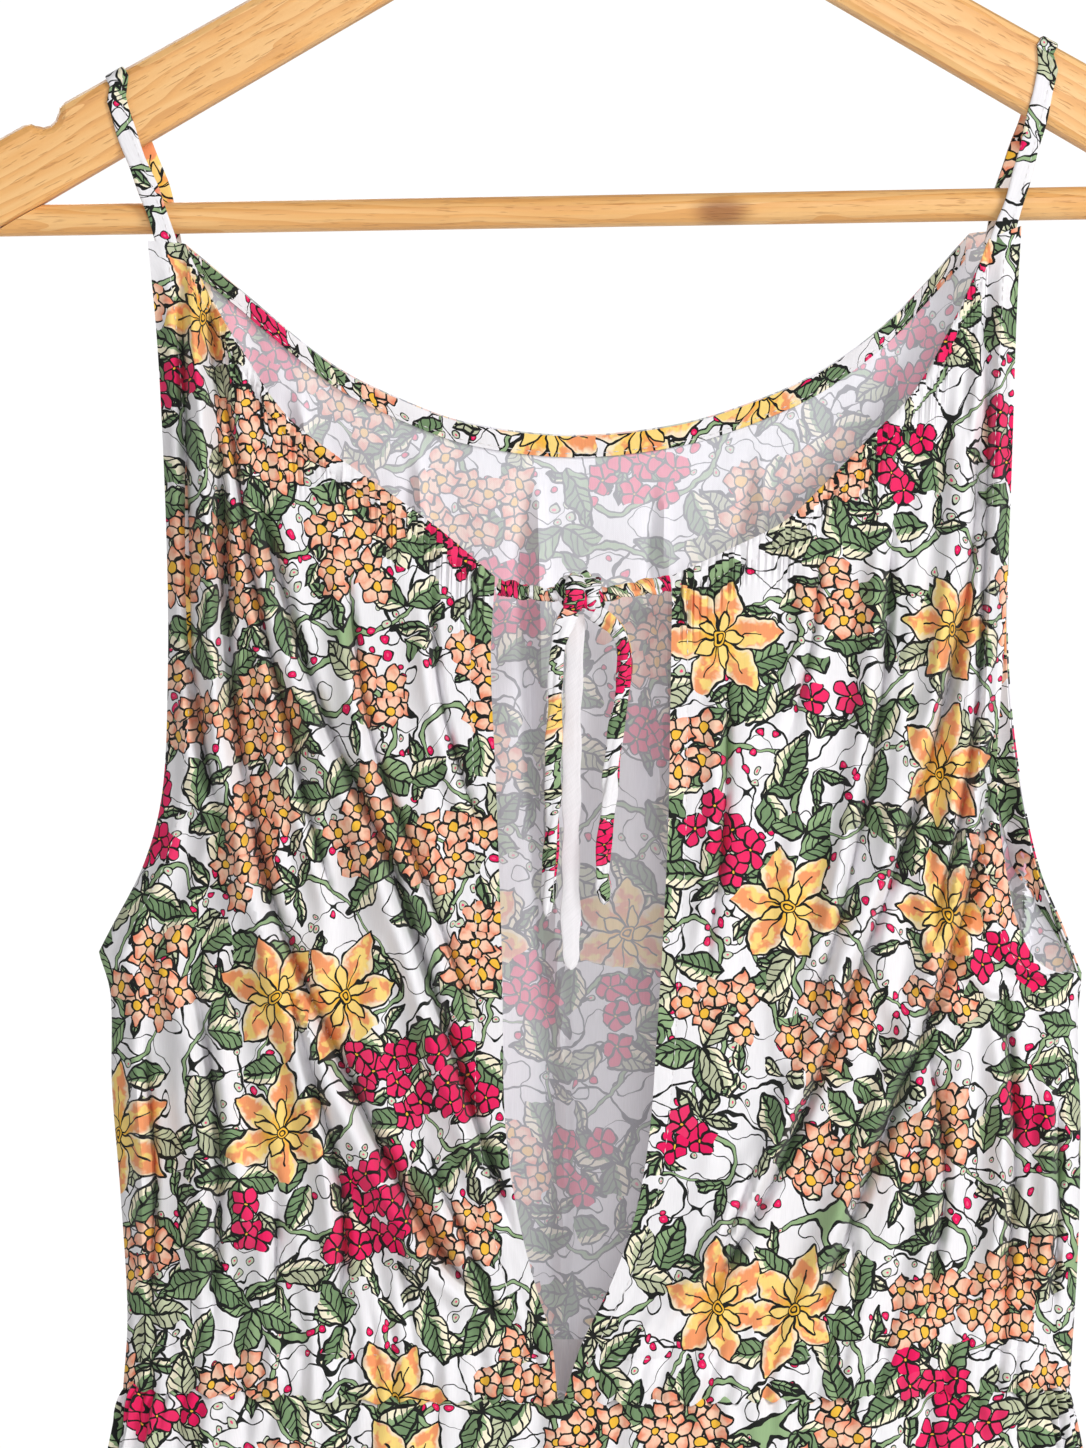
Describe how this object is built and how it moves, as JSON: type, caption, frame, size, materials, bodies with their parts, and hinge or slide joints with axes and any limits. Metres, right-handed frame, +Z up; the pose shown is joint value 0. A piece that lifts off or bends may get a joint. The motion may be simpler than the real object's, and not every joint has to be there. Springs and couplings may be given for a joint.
{
  "type": "mini dress on wooden hanger",
  "caption": "Strappy mini dress with a tied keyhole neck and gathered waist, hanging from a flat wooden clothes hanger with a bar.",
  "frame": {"origin": "the inner top of the hanger's hook, where the rail that holds it lies", "axes": "+Z up, the dress's front faces -Y, +X to the right as seen from the front"},
  "size_m": [0.4632, 0.1194, 0.9935],
  "materials": {
    "print_cloth": "matt printed viscose",
    "trim_cloth": "matt printed viscose",
    "wood": "clear satin lacquer",
    "hook_metal": "polished"
  },
  "bodies": {
    "root": {"front_left": "print_cloth", "front_right": "print_cloth", "back": "print_cloth", "skirt_front": "print_cloth", "skirt_back": "print_cloth", "back_neck_binding": "trim_cloth", "armhole_binding_left": "trim_cloth", "armhole_binding_right": "trim_cloth", "waist_casing": "trim_cloth", "strap_left": "trim_cloth", "strap_right": "trim_cloth", "tie_run_left": "trim_cloth", "tie_run_right": "trim_cloth", "tie_knot": "trim_cloth", "tie_end_left": "trim_cloth", "tie_end_back": "trim_cloth", "tie_end_right": "trim_cloth", "hanger_body": "wood", "hanger_bar": "wood", "hanger_hook": "hook_metal"}
  },
  "joints": []
}
